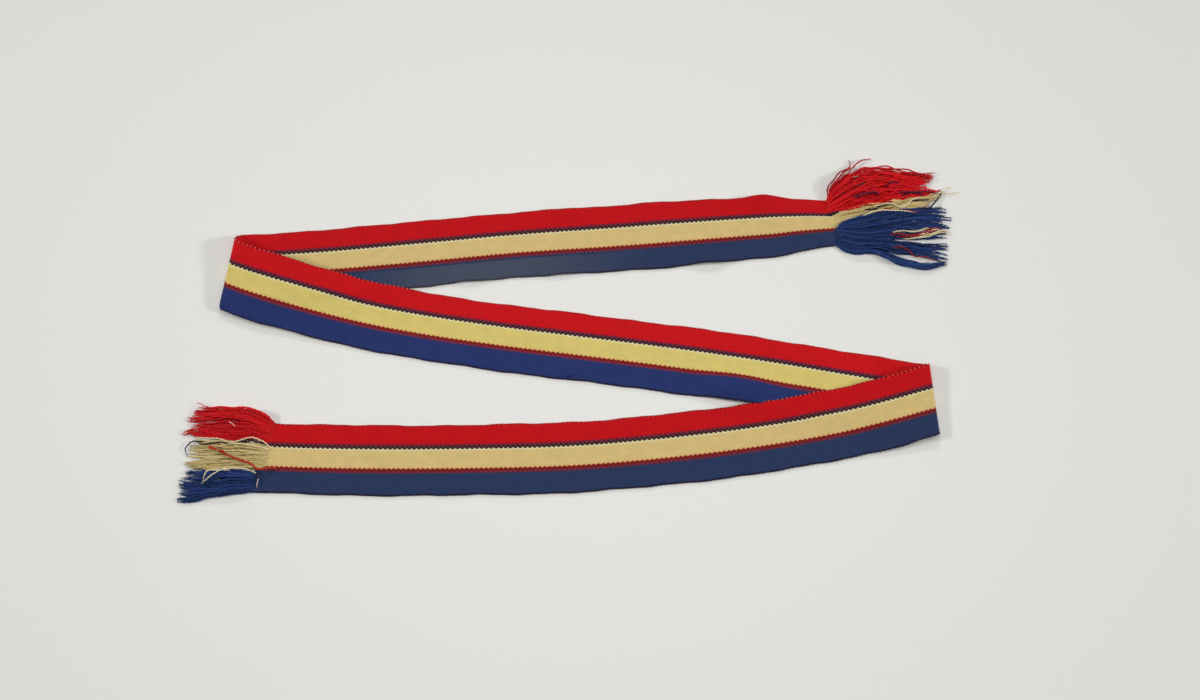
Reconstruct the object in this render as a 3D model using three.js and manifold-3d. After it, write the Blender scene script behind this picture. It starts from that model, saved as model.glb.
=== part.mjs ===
// A woven sash of wool in red, cream and blue, lying on a table: one long band laid in three
// runs, turned over at a soft fold on the left and another on the right, with a cut fringe at
// both ends. Millimetres. X runs along the lay, Y to the back, Z up, and z = 0 is the table.
import * as THREE from "three";
import { mergeVertices } from "three/addons/utils/BufferGeometryUtils.js";
import Module from "manifold-3d";

const wasm = await Module();
wasm.setup();

// The cloth
const WIDTH = 70;
const CLOTH = 1.6;
const AIR = 0.35; // between two layers that lie on each other
const HALF = WIDTH / 2;
const STACK = CLOTH + AIR; // what a layer rises by where it crosses another

// Stripes from the red selvedge to the blue one, each with its share of the width
const STRIPES = [
  { name: "red", share: 0.28, colour: 0xb4161c },
  { name: "navy_line", share: 0.07, colour: 0x20202e },
  { name: "cream", share: 0.275, colour: 0xcdb878 },
  { name: "red_line", share: 0.083, colour: 0x8c2420 },
  { name: "blue", share: 0.292, colour: 0x26366a },
];

// The lay, from the long fringe to the short one. Each run starts at a heading and is a chain
// of sections, each a length of cloth and the angle it turns through (degrees, + is leftwards).
const START = new THREE.Vector2(244.26, 114.32);
const RUNS = [
  {
    heading: 183.2,
    sections: [
      { length: 30, turn: 0.9 },
      { length: 60, turn: 0.5 },
      { length: 80, turn: 0.6 },
      { length: 90, turn: -1.2 },
      { length: 90, turn: 2.3 },
      { length: 110, turn: -0.6 },
      { length: 124, turn: -2.8 },
    ],
  },
  {
    heading: -23.1,
    sections: [
      { length: 60, turn: 6.7 },
      { length: 80, turn: 3.8 },
      { length: 80, turn: 3.2 },
      { length: 90, turn: 1.8 },
      { length: 87, turn: -0.2 },
      { length: 90, turn: -1.1 },
      { length: 100, turn: -2.1 },
      { length: 92, turn: 2.4 },
    ],
  },
  {
    heading: 196.1,
    sections: [
      { length: 60, turn: -2.5 },
      { length: 80, turn: -3.8 },
      { length: 80, turn: -2.7 },
      { length: 80, turn: -2 },
      { length: 78, turn: -3.6 },
      { length: 80, turn: -0.9 },
      { length: 80, turn: -1.3 },
      { length: 80, turn: -2.1 },
    ],
  },
];

// The folds between the runs. line is the heading of the fold towards the red selvedge, and
// slip is how far the cloth slides along it. The upper layer stands off the lower one by
// red_lift and blue_lift at its selvedges, holds that to hold from the fold and lies down by
// settle.
const FOLDS = [
  { line: 82.3, inward: 1, slip: 11.4, red_lift: 12, blue_lift: 1.5, hold: 40, settle: 165 },
  { line: 92.6, inward: -1, slip: 2.6, red_lift: 7, blue_lift: 1.5, hold: 5, settle: 90 },
];
const SHEAR_FADE = { from: 10, to: 90 }; // where the weave straightens again after a fold
const PULL_FADE = 100; // how far from a fold the cloth is drawn towards it
const STEP_DOWN = 16; // how far past a lower layer's selvedge the upper one meets the table

// The weave draws in hard at the long fringe, and its width wavers a little along the rest
const DRAW = [
  { at: 0, width: 0.71 },
  { at: 12, width: 0.76 },
  { at: 60, width: 0.98 },
  { at: 110, width: 1.016 },
  { at: 180, width: 1.06 },
  { at: 300, width: 1.03 },
  { at: 420, width: 1.045 },
  { at: 584, width: 0.98 },
  { at: 800, width: 0.995 },
  { at: 1020, width: 0.993 },
  { at: 1240, width: 0.962 },
  { at: 1500, width: 0.98 },
  { at: 1881, width: 0.965 },
];

// Ripples, where the cloth stands off the table: the middle of each along and across the
// band, its half length and half breadth, and its height
const RIPPLES = [
  { at: 32, across: 0, along: 32, over: 30, height: 1 },
  { at: 66, across: 35, along: 30, over: 22, height: 4.1 },
  { at: 124, across: -35, along: 30, over: 20, height: 3.6 },
  { at: 262, across: 35, along: 34, over: 22, height: 2.5 },
  { at: 268, across: -35, along: 26, over: 18, height: 1.5 },
  { at: 356, across: -35, along: 26, over: 18, height: 1.9 },
  { at: 380, across: 35, along: 32, over: 22, height: 1 },
  { at: 1081, across: -22, along: 48, over: 26, height: 7.4 },
];

// The fringes. Each bundle is a row of locks from its stripe's share of the fell. The columns
// give the lowest and highest lock's place across the band at the fell, the shoulder, the
// middle and the tips, the height that the shoulder stands to, and the longest lock's length.
const HEAD = { gap: 0.3, length: 5, height: 2.4 };
const SHOULDER = 0.17; // places along a lock, as shares of its length
const MIDDLE = 0.55;
const LOCK = { count: 8, sides: 5, steps: 6, shorter: 0.12 };
const FRINGES = [
  {
    name: "right_fringe_red", end: "far", stripe: 0xc01a20, radius: 3.8, rise: 15, length: 109,
    head: [9.4, 24.8], fell: [12.6, 22], shoulder: [16, 46], middle: [21.5, 54], tips: [28, 49],
  },
  {
    name: "right_fringe_cream", end: "far", stripe: 0xd2c08a, radius: 2.4, rise: 5, length: 113,
    head: [-8.2, 9.1], fell: [-3.4, 5], shoulder: [1.5, 8.5], middle: [6.5, 15], tips: [10, 21.5],
  },
  {
    name: "right_fringe_blue", end: "far", stripe: 0x24407c, radius: 4.0, rise: 7, length: 117,
    head: [-24.8, -8.5], fell: [-22, -11.6], shoulder: [-32, -6], middle: [-44, -1], tips: [-52, 5],
  },
  {
    name: "left_fringe_red", end: "near", stripe: 0xc01a20, radius: 3.3, rise: 10, length: 78,
    head: [12.6, 33.4], fell: [16, 30], shoulder: [17, 38], middle: [14, 42], tips: [14.5, 38],
  },
  {
    name: "left_fringe_cream", end: "near", stripe: 0xd2c08a, radius: 2.5, rise: 6, length: 72,
    head: [-11, 12.3], fell: [-7.6, 9], shoulder: [-9, 9], middle: [-11, 6.8], tips: [-16, 4],
  },
  {
    name: "left_fringe_blue", end: "near", stripe: 0x24407c, radius: 3.2, rise: 7, length: 76,
    head: [-33.4, -11.3], fell: [-30, -15], shoulder: [-36, -17], middle: [-43, -19], tips: [-46, -25],
  },
];

const smooth = (from, to, x) => THREE.MathUtils.smoothstep(x, from, to);
const mix = THREE.MathUtils.lerp;
const facing = (degrees) => {
  const angle = THREE.MathUtils.degToRad(degrees);
  return new THREE.Vector2(Math.cos(angle), Math.sin(angle));
};
const leftOf = (v) => new THREE.Vector2(-v.y, v.x);

// Runs of the lay

// One run: a chain of arcs on the table. Past either end it carries on straight.
class Run {
  constructor(start, plan, offset, redSide) {
    this.offset = offset; // cloth used before this run
    this.redSide = redSide; // +1 where the red selvedge is on the left of the way it runs
    this.arcs = [];
    let from = 0;
    let heading = plan.heading;
    let point = start.clone();
    for (const { length, turn } of plan.sections) {
      const arc = { from, heading, point, length, turn };
      this.arcs.push(arc);
      point = this.along(arc, length).point;
      heading += turn;
      from += length;
    }
    this.length = from;
    this.start = this.arcs[0];
    this.end = { heading, point };
  }

  // A point on an arc lies down its chord: half the turn off the first heading
  along(arc, distance) {
    const turn = (arc.turn * distance) / arc.length;
    const half = THREE.MathUtils.degToRad(turn) / 2;
    const chord = half === 0 ? distance : (distance * Math.sin(half)) / half;
    const point = facing(arc.heading + turn / 2).multiplyScalar(chord).add(arc.point);
    return { point, way: facing(arc.heading + turn) };
  }

  at(distance) {
    if (distance < 0) {
      const way = facing(this.start.heading);
      return { point: way.clone().multiplyScalar(distance).add(this.start.point), way };
    }
    if (distance > this.length) {
      const way = facing(this.end.heading);
      return { point: way.clone().multiplyScalar(distance - this.length).add(this.end.point), way };
    }
    const arc = this.arcs.findLast((candidate) => candidate.from <= distance);
    return this.along(arc, distance - arc.from);
  }

  // The plan of a point of the cloth, across it from the centre line, + towards red
  plan(distance, across) {
    const { point, way } = this.at(distance);
    return leftOf(way).multiplyScalar(this.redSide * across).add(point);
  }

  // How far across this run a plan point lies, found by walking to the foot of its normal
  acrossOf(point, guess) {
    let distance = guess;
    for (let step = 0; step < 4; step += 1) {
      const here = this.at(distance);
      distance += point.clone().sub(here.point).dot(here.way);
    }
    const foot = this.at(distance);
    return this.redSide * point.clone().sub(foot.point).dot(leftOf(foot.way));
  }
}

const runs = [];
const folds = [];
{
  let start = START;
  let offset = 0;
  RUNS.forEach((plan, index) => {
    const run = new Run(start, plan, offset, index % 2 === 0 ? -1 : 1);
    runs.push(run);
    offset += run.length;
    if (index < FOLDS.length) {
      const along = facing(FOLDS[index].line);
      const inward = leftOf(along).multiplyScalar(-FOLDS[index].inward);
      folds.push({ ...FOLDS[index], origin: run.end.point, along, inward });
      start = along.clone().multiplyScalar(-FOLDS[index].slip).add(run.end.point);
    }
  });
}
const LENGTH = runs.reduce((sum, run) => sum + run.length, 0);

// How fast the place where a run crosses the fold line moves with the place across the band
function crossing(run, heading, fold) {
  const way = facing(heading);
  return (-run.redSide * leftOf(way).dot(fold.inward)) / way.dot(fold.inward);
}
folds.forEach((fold, index) => {
  fold.lower = runs[index];
  fold.upper = runs[index + 1];
  fold.skew = crossing(fold.lower, fold.lower.end.heading, fold);
  fold.shear = crossing(fold.upper, fold.upper.start.heading, fold) - fold.skew;
});
const foldNear = (s) => folds[s < runs[1].offset + runs[1].length / 2 ? 0 : 1];

// The middle of the cloth

function drawAt(s) {
  const next = Math.max(1, DRAW.findIndex((row) => row.at >= s));
  const [a, b] = [DRAW[next - 1], DRAW[next]];
  return mix(a.width, b.width, (s - a.at) / (b.at - a.at));
}

function rippleAt(s, t) {
  const bump = (x) => (Math.abs(x) < 1 ? (1 + Math.cos(Math.PI * x)) / 2 : 0);
  const heights = RIPPLES.map((ripple) => {
    const along = bump((s - ripple.at) / ripple.along);
    return ripple.height * along * bump((t - ripple.across) / ripple.over);
  });
  return heights.reduce((sum, height) => sum + height, 0);
}

// The place in space of the cloth s along it from the long fringe and t across it, + to red.
// Away from a fold the cloth lies flat. At a fold it goes round half a circle about the fold
// line, whose radius grows towards the red selvedge, and comes back above itself.
function surface(s, t) {
  const fold = foldNear(s);
  const across = t * drawAt(s);
  const into = s - fold.upper.offset;
  const shear = fold.shear * across * (1 - smooth(SHEAR_FADE.from, SHEAR_FADE.to, Math.abs(into)));
  const before = fold.lower.plan(s - fold.lower.offset, across).sub(fold.origin);
  const after = fold.upper.plan(into + shear, across).sub(fold.origin);

  // u is the distance from the fold line, - before it and + after it
  const ahead = before.dot(fold.inward);
  const u = ahead >= 0 ? -ahead : Math.max(after.dot(fold.inward), 0);
  const share = THREE.MathUtils.clamp((across + HALF) / WIDTH, 0, 1);
  const lift = mix(fold.blue_lift, fold.red_lift, share);
  const radius = (STACK + lift) / 2;
  const bend = (Math.PI * radius) / 2;
  const angle = THREE.MathUtils.clamp(u / radius + Math.PI / 2, 0, Math.PI);
  const pull = (Math.PI / 2 - 1) * radius * (1 - smooth(0, PULL_FADE, Math.abs(u) - bend));
  const flat = Math.abs(u) >= bend;
  const off = flat ? Math.abs(u) - pull : radius * (1 - Math.sin(angle));
  const down = mix(before.dot(fold.along), after.dot(fold.along), smooth(0, Math.PI, angle));
  const place = fold.inward.clone().multiplyScalar(off)
    .addScaledVector(fold.along, down).add(fold.origin);

  // The upper layer rides over the lower one, then steps down to the table past its selvedge
  const below = fold.lower.acrossOf(place, fold.lower.length - Math.abs(u));
  const stack = STACK * smooth(-HALF - STEP_DOWN, -HALF, below);
  const rise = stack + lift * (1 - smooth(fold.hold, fold.settle, Math.abs(u)));
  const height = rise * (1 - Math.cos(angle)) / 2 + rippleAt(s, t);
  return new THREE.Vector3(place.x, place.y, CLOTH / 2 + height);
}

function normal(s, t) {
  const step = 0.25;
  const way = surface(Math.min(s + step, LENGTH), t).sub(surface(Math.max(s - step, 0), t));
  const side = surface(s, Math.min(t + step, HALF)).sub(surface(s, Math.max(t - step, -HALF)));
  return side.cross(way).normalize();
}

// The band

// Places along the cloth where it is cut into facets: close together round the folds
function stations() {
  const plain = 18;
  const near = [0, 1, 2, 3, 4.5, 6, 8, 10, 12.5, 16, 20, 26, 36];
  const marks = [0];
  runs.forEach((run, index) => {
    const from = run.offset + (index > 0 ? near.at(-1) : 0);
    const to = run.offset + run.length - (index < folds.length ? near.at(-1) : 0);
    const count = Math.round((to - from) / plain);
    for (let k = 1; k < count; k += 1) marks.push(mix(from, to, k / count));
    if (index < folds.length) {
      const line = run.offset + run.length;
      marks.push(...near.toReversed().map((gap) => line - gap), ...near.slice(1).map((gap) => line + gap));
    }
  });
  marks.push(LENGTH);
  return marks;
}

// Round a fold the facets run along the fold line, and elsewhere straight across the band
function skewed(s, t) {
  const fold = foldNear(s);
  const gap = Math.abs(s - fold.upper.offset);
  return THREE.MathUtils.clamp(s + fold.skew * t * (1 - smooth(16, 60, gap)), 0, LENGTH);
}

// Stripe borders across the band, each with the stripe that starts there, and a line of
// facets down the middle of each wide stripe
function columns() {
  const wide = 0.2;
  const list = [];
  let edge = HALF;
  for (const stripe of STRIPES) {
    const breadth = stripe.share * WIDTH;
    list.push({ t: edge, colour: stripe.colour });
    if (stripe.share > wide) list.push({ t: edge - breadth / 2, colour: stripe.colour });
    edge -= breadth;
  }
  list.push({ t: -HALF, colour: STRIPES.at(-1).colour });
  return list;
}

function wovenBand() {
  const across = columns();
  const rows = stations().map((mark) => across.map(({ t }) => {
    const s = skewed(mark, t);
    const middle = surface(s, t);
    const out = normal(s, t).multiplyScalar(CLOTH / 2);
    return { face: middle.clone().add(out), back: middle.clone().sub(out) };
  }));
  const positions = [];
  const colours = [];
  const quad = (colour, a, b, c, d) => {
    const tint = new THREE.Color(colour);
    for (const corner of [a, b, c, a, c, d]) {
      positions.push(corner.x, corner.y, corner.z);
      colours.push(tint.r, tint.g, tint.b);
    }
  };
  const last = { row: rows.length - 1, column: across.length - 1 };
  for (let i = 0; i < last.row; i += 1) {
    const [near, next] = [rows[i], rows[i + 1]];
    for (let j = 0; j < last.column; j += 1) {
      const colour = across[j].colour;
      quad(colour, near[j].face, next[j].face, next[j + 1].face, near[j + 1].face);
      quad(colour, near[j].back, near[j + 1].back, next[j + 1].back, next[j].back);
    }
    quad(across[0].colour, near[0].back, next[0].back, next[0].face, near[0].face);
    const [side, far] = [near[last.column], next[last.column]];
    quad(across.at(-1).colour, side.face, far.face, far.back, side.back);
  }
  for (let j = 0; j < last.column; j += 1) {
    const [first, final] = [rows[0], rows[last.row]];
    quad(across[j].colour, first[j].face, first[j + 1].face, first[j + 1].back, first[j].back);
    quad(across[j].colour, final[j].back, final[j + 1].back, final[j + 1].face, final[j].face);
  }
  const geometry = new THREE.BufferGeometry();
  geometry.setAttribute("position", new THREE.Float32BufferAttribute(positions, 3));
  geometry.setAttribute("color", new THREE.Float32BufferAttribute(colours, 3));
  geometry.computeVertexNormals();
  return geometry;
}

// Fringes

// Each end of the band, with the way out of its fell and the way across it towards red
const ENDS = {
  far: { fell: runs[0].start.point, out: facing(runs[0].start.heading + 180), redSide: 1 },
  near: { fell: runs[2].end.point, out: facing(runs[2].end.heading), redSide: -1 },
};

function beyond(end, out, across, height) {
  const { fell, out: way, redSide } = ENDS[end];
  const point = way.clone().multiplyScalar(out).add(fell)
    .addScaledVector(leftOf(way), redSide * across);
  return new THREE.Vector3(point.x, point.y, height);
}

// A lock starts thin in the head, swells past the shoulder and tapers to its tip
const fullness = (u) => 0.6 + 0.4 * smooth(0, 0.25, u) - 0.4 * smooth(0.5, 1, u);

// A lock is a tube of flat sides, the lowest of them level, that lies along its path
function lockGeometry(fringe, index) {
  const share = index / (LOCK.count - 1);
  const place = ([low, high]) => mix(low, high, share);
  const length = fringe.length * (1 - (LOCK.shorter * ((index * 3) % 4)) / 3);
  const rise = fringe.rise * (0.65 + 0.35 * share);
  const path = new THREE.CatmullRomCurve3([
    beyond(fringe.end, HEAD.gap + 1.5, place(fringe.fell), HEAD.height / 2),
    beyond(fringe.end, SHOULDER * length, place(fringe.shoulder), rise),
    beyond(fringe.end, MIDDLE * length, place(fringe.middle), rise * 0.45),
    beyond(fringe.end, length, place(fringe.tips), 0),
  ]);
  const up = new THREE.Vector3(0, 0, 1);
  const positions = [];
  const faces = [];
  for (let step = 0; step <= LOCK.steps; step += 1) {
    const u = step / LOCK.steps;
    const radius = fringe.radius * fullness(u);
    const centre = path.getPointAt(u);
    centre.z = Math.max(centre.z, radius * Math.cos(Math.PI / LOCK.sides));
    const side = up.clone().cross(path.getTangentAt(u)).normalize();
    for (let corner = 0; corner < LOCK.sides; corner += 1) {
      const angle = (2 * Math.PI * (corner + 0.5)) / LOCK.sides - Math.PI / 2;
      positions.push(...centre.clone().addScaledVector(side, radius * Math.cos(angle))
        .addScaledVector(up, radius * Math.sin(angle)));
      if (step === LOCK.steps) continue;
      const here = step * LOCK.sides + corner;
      const beside = step * LOCK.sides + ((corner + 1) % LOCK.sides);
      faces.push(here, beside, beside + LOCK.sides, here, beside + LOCK.sides, here + LOCK.sides);
    }
  }
  const tip = LOCK.steps * LOCK.sides;
  for (let corner = 1; corner < LOCK.sides - 1; corner += 1) {
    faces.push(0, corner + 1, corner, tip, tip + corner, tip + corner + 1);
  }
  const geometry = new THREE.BufferGeometry();
  geometry.setAttribute("position", new THREE.Float32BufferAttribute(positions, 3));
  geometry.setIndex(faces);
  return geometry;
}

// The head: a flat bar at the fell that every lock of the bundle is fused to
function headGeometry(fringe) {
  const [low, high] = fringe.head;
  const bar = new THREE.BoxGeometry(HEAD.length, high - low, HEAD.height);
  const { out } = ENDS[fringe.end];
  bar.rotateZ(Math.atan2(out.y, out.x));
  bar.translate(...beyond(fringe.end, HEAD.gap + HEAD.length / 2, (low + high) / 2, HEAD.height / 2));
  return bar;
}

function solid(geometry) {
  const bare = new THREE.BufferGeometry();
  bare.setAttribute("position", geometry.getAttribute("position"));
  bare.setIndex(geometry.getIndex());
  const merged = mergeVertices(bare);
  const vertProperties = new Float32Array(merged.getAttribute("position").array);
  const triVerts = new Uint32Array(merged.getIndex().array);
  return new wasm.Manifold(new wasm.Mesh({ numProp: 3, vertProperties, triVerts }));
}

function fringeGeometry(fringe) {
  let bundle = solid(headGeometry(fringe));
  for (let index = 0; index < LOCK.count; index += 1) {
    bundle = bundle.add(solid(lockGeometry(fringe, index)));
  }
  const { vertProperties, triVerts } = bundle.getMesh();
  const geometry = new THREE.BufferGeometry();
  geometry.setAttribute("position", new THREE.Float32BufferAttribute(vertProperties, 3));
  geometry.setIndex(new THREE.Uint32BufferAttribute(triVerts, 1));
  geometry.computeVertexNormals();
  return geometry;
}

// The sash

const sash = new THREE.Group();
sash.name = "mayoral_sash";
const weave = new THREE.MeshStandardMaterial({ vertexColors: true, roughness: 0.9, metalness: 0 });
const band = new THREE.Mesh(wovenBand(), weave);
band.name = "woven_band";
sash.add(band);
for (const fringe of FRINGES) {
  const yarn = new THREE.MeshStandardMaterial({ color: fringe.stripe, roughness: 0.95, metalness: 0 });
  const bundle = new THREE.Mesh(fringeGeometry(fringe), yarn);
  bundle.name = fringe.name;
  sash.add(bundle);
}

export default sash;
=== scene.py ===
import math

import bpy
import numpy as np
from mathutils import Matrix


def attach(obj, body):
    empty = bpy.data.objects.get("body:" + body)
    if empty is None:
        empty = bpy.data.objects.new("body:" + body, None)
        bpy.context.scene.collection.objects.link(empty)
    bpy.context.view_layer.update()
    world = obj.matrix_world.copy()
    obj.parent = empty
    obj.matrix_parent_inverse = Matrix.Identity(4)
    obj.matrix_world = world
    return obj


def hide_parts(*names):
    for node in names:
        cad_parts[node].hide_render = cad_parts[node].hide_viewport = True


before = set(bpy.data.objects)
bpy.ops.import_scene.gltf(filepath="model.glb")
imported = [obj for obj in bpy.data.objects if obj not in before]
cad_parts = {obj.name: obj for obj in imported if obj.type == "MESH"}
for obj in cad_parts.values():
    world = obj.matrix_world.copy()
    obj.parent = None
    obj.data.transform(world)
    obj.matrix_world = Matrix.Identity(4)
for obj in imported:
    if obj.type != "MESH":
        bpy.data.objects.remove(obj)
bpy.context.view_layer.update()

# Camera
# The photographer stood in front of the table and looked down on the sash at 65 degrees, from
# 1.35 m, so the near run is drawn slightly larger than the far one.
scene = bpy.context.scene
lens = bpy.data.cameras.new("photographer")
lens.lens = 42.78
lens.sensor_width = 36
lens.shift_y = 0.00083
photographer = bpy.data.objects.new("photographer", lens)
photographer.location = (0.01726, -0.59071, 1.2159)
photographer.rotation_euler = (math.radians(25), 0, 0)
scene.collection.objects.link(photographer)
scene.camera = photographer


# Table and light
# A sheet of pale matt paper covers the table. Two soft boxes stand well off to its left and right,
# a window lights it from behind and a lamp from above, and the pale room fills the shadows.
def dyed(red, green, blue):
    """The linear colour of a 0 to 255 screen colour: (c + 0.055) / 1.055 to the power 2.4."""
    screen = np.array([red, green, blue]) / 255
    linear = np.where(screen > 0.04045, ((screen + 0.055) / 1.055) ** 2.4, screen / 12.92)
    return (*linear.tolist(), 1)


class Socket:
    """A socket of a node tree. Sums written with it add the Math nodes that they need."""

    tree = None  # the node tree of the material that is being made

    def __init__(self, end):
        self.end = end

    @classmethod
    def node(cls, kind, settings=None, inputs=None, output=0):
        """Adds a node: its settings first, a ramp's stops among them, then the value or the link
        of each input. Gives one of its outputs."""
        made = cls.tree.nodes.new("ShaderNode" + kind)
        for name, value in (settings or {}).items():
            if name == "stops":
                ramp = made.color_ramp
                while len(ramp.elements) < len(value):
                    ramp.elements.new(1)
                for element, (place, colour) in zip(ramp.elements, value):
                    element.position = place
                    element.color = colour
            else:
                setattr(made, name, value)
        for name, value in (inputs or {}).items():
            if isinstance(value, Socket):
                cls.tree.links.new(value.end, made.inputs[name])
            else:
                made.inputs[name].default_value = value
        return cls(made.outputs[output]) if made.outputs else None

    @classmethod
    def start(cls, name):
        """A new material with an empty node tree, which the next nodes go into."""
        material = bpy.data.materials.new(name)
        material.use_nodes = True
        cls.tree = material.node_tree
        cls.tree.nodes.clear()
        return material

    def math(self, operation, *others):
        return self.node("Math", {"operation": operation}, dict(enumerate((self, *others))))

    def __add__(self, other):
        return self.math("ADD", other)

    __radd__ = __add__

    def __sub__(self, other):
        return self.math("SUBTRACT", other)

    def __rsub__(self, other):
        return self.node("Math", {"operation": "SUBTRACT"}, {0: other, 1: self})

    def __mul__(self, other):
        return self.math("MULTIPLY", other)

    __rmul__ = __mul__

    def __truediv__(self, other):
        return self.math("DIVIDE", other)

    def __abs__(self):
        return self.math("ABSOLUTE")

    def wave(self):
        """The cosine of whole turns: 1 at each whole number, -1 half way between."""
        return (self * (2 * math.pi)).math("COSINE")

    def rising(self, start, end):
        """0 up to start, 1 from end on, and a smooth step between."""
        smooth = {"interpolation_type": "SMOOTHSTEP"}
        return self.node("MapRange", smooth, {0: self, 1: start, 2: end})

    def near(self, middle, reach):
        """1 within reach of middle, else 0."""
        return self.math("COMPARE", middle, reach)

    def choose(self, first, second):
        """The colour first where this socket is 0 and second where it is 1."""
        return self.node("Mix", {"data_type": "RGBA"}, {0: self, 6: first, 7: second}, 2)


def noise(place, scale, detail=2):
    """Soft random patches, about as many to a unit of place as the scale."""
    return Socket.node("TexNoise", {}, {"Vector": place, "Scale": scale, "Detail": detail})


def finished(material, looks):
    """The material, with these looks on its surface."""
    Socket.node("OutputMaterial", {}, {"Surface": Socket.node("BsdfPrincipled", {}, looks)})
    return material


def paper():
    """Matt white paper with a faint tooth."""
    material = Socket.start("table_paper")
    place = Socket.node("TexCoord", output=3)
    tooth = noise(place, 900)
    shade = tooth.choose(dyed(228, 228, 225), dyed(232, 232, 229))
    bump = Socket.node("Bump", {}, {"Height": tooth, "Strength": 0.1, "Distance": 0.0002})
    settled = {"Base Color": shade, "Roughness": 0.95, "Specular IOR Level": 0.1, "Normal": bump}
    return finished(material, settled)


reach = 12.0  # metres
corners = [(-reach, -reach), (reach, -reach), (reach, reach), (-reach, reach)]
sheet = bpy.data.meshes.new("table")
sheet.from_pydata([(x, y, -0.0003) for x, y in corners], [], [(0, 1, 2, 3)])
sheet.materials.append(paper())
table = bpy.data.objects.new("table", sheet)
scene.collection.objects.link(table)

LAMPS = (  # place, tilt back and turn sideways in degrees, breadth and depth in metres, and power
    {"name": "left_soft_box", "at": (-4, 0, 1.95), "turn": (0, 64), "size": (0.5, 0.6), "power": 90},
    {"name": "right_soft_box", "at": (4.1, -0.6, 1.7), "turn": (0, -67), "size": (0.5, 0.6), "power": 98},
    {"name": "window", "at": (0, 4, 2.2), "turn": (61, 0), "size": (1.6, 0.8), "power": 60},
    {"name": "ceiling_lamp", "at": (0, -0.1, 1.0), "turn": (-6, 0), "size": (0.6, 0.6), "power": 3.0},
)
for row in LAMPS:
    lamp = bpy.data.lights.new(row["name"], "AREA")
    lamp.shape = "RECTANGLE"
    lamp.size, lamp.size_y = row["size"]
    lamp.energy = row["power"]
    lamp.color = (1.0, 0.992, 0.975)
    stand = bpy.data.objects.new(row["name"], lamp)
    stand.location = row["at"]
    stand.rotation_euler = (-math.radians(row["turn"][0]), -math.radians(row["turn"][1]), 0)
    scene.collection.objects.link(stand)

room = bpy.data.worlds.new("room")
room.use_nodes = True
glow = room.node_tree.nodes["Background"].inputs
glow["Color"].default_value = (1.0, 0.995, 0.985, 1)
glow["Strength"].default_value = 0.2
scene.world = room
scene.view_settings.view_transform = "Standard"


# Woven band
# The sash itself: one strip of wool, woven so tightly that the lengthwise yarns hide the crosswise
# ones and make its stripes. It lies in three runs and turns over at two soft folds, held by nothing.
MM = 0.001
WIDTH = 70
HALF = WIDTH / 2
CLOTH = 1.6
STACK = CLOTH + 0.35  # what a layer rises by where it crosses another, with the air between

# The runs' turns, the folds' lines and slips, the shares of the width and most ripples' heights
# were fitted to the stripes' edges in the photograph and then rounded
START = (244.26, 114.32)  # the middle of the end with the long fringe
RUNS = (  # each section is a length of cloth and the degrees it turns through, + leftwards
    {"heading": 183.2, "sections": (
        (30, 0.9), (60, 0.5), (80, 0.6), (90, -1.2), (90, 2.3), (110, -0.6), (124, -2.8),
    )},
    {"heading": -23.1, "sections": (
        (60, 6.7), (80, 3.8), (80, 3.2), (90, 1.8), (87, -0.2), (90, -1.1), (100, -2.1), (92, 2.4),
    )},
    {"heading": 196.1, "sections": (
        (60, -2.5), (80, -3.8), (80, -2.7), (80, -2), (78, -3.6), (80, -0.9), (80, -1.3), (80, -2.1),
    )},
)
# A fold line has a heading, the side where the cloth lies (+1 is its right) and a slip along it.
# The upper layer stands off by "red" and "blue" at its edges, out to "hold", and has settled at
# "settle". The fold bulges out, by "lean" more at the red edge than at the blue one
FOLDS = (
    {
        "line": 82.3, "inward": 1, "slip": 11.4, "red": 12, "blue": 1.5,
        "hold": 40, "settle": 165, "bulge": 1.7, "lean": 1.3,
    },
    {
        "line": 92.6, "inward": -1, "slip": 2.6, "red": 7, "blue": 1.5,
        "hold": 5, "settle": 90, "bulge": -1.5, "lean": 0,
    },
)
SHEAR_FADE = (10, 90)  # where the weave straightens again after a fold
PULL_FADE = 100  # how far from a fold the cloth is drawn towards it
BULGE_FADE = 60  # how far from a fold its bulge reaches
STEP_DOWN = 16  # how far past a lower layer's selvedge the upper one meets the table
SPREAD = 0.45  # the share of a ripple's height by which it spreads to the front near a fold
DRAW = (  # the share of its full width that the band keeps, by the length from the long fringe
    (0, 12, 60, 110, 180, 300, 420, 584, 800, 1020, 1240, 1500, 1881),
    (0.71, 0.76, 0.98, 1.016, 1.06, 1.03, 1.045, 0.98, 0.995, 0.993, 0.962, 0.98, 0.965),
)
RIPPLES = (  # where the cloth stands off the table, in from the long fringe and across to red
    {"at": 32, "across": 0, "along": 32, "over": 30, "height": 1},
    {"at": 66, "across": 35, "along": 30, "over": 22, "height": 4.1},
    {"at": 124, "across": -35, "along": 30, "over": 20, "height": 3.6},
    {"at": 262, "across": 35, "along": 34, "over": 22, "height": 2.5},
    {"at": 268, "across": -35, "along": 26, "over": 18, "height": 1.5},
    {"at": 356, "across": -35, "along": 26, "over": 18, "height": 1.9},
    {"at": 380, "across": 35, "along": 32, "over": 22, "height": 1},
    {"at": 606, "across": -35, "along": 90, "over": 40, "height": 1.2},
    {"at": 1081, "across": -22, "along": 48, "over": 26, "height": 7.4},
    {"at": 1290, "across": -35, "along": 80, "over": 40, "height": 1},
)
PICK = 2.2  # from one crosswise yarn to the next
END = 0.82  # breadth of one lengthwise yarn


def facing(degrees):
    """The unit vector of each heading: its cosine and its sine."""
    angle = np.radians(degrees)
    return np.stack([np.cos(angle), np.sin(angle)], -1)


def left_of(way):
    return np.stack([-way[..., 1], way[..., 0]], -1)


def smooth(start, end, x):
    """A smooth step: 3 t t - 2 t t t of the share t that x has covered from start to end."""
    share = np.clip((x - start) / (end - start), 0, 1)
    return share * share * (3 - 2 * share)


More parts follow.
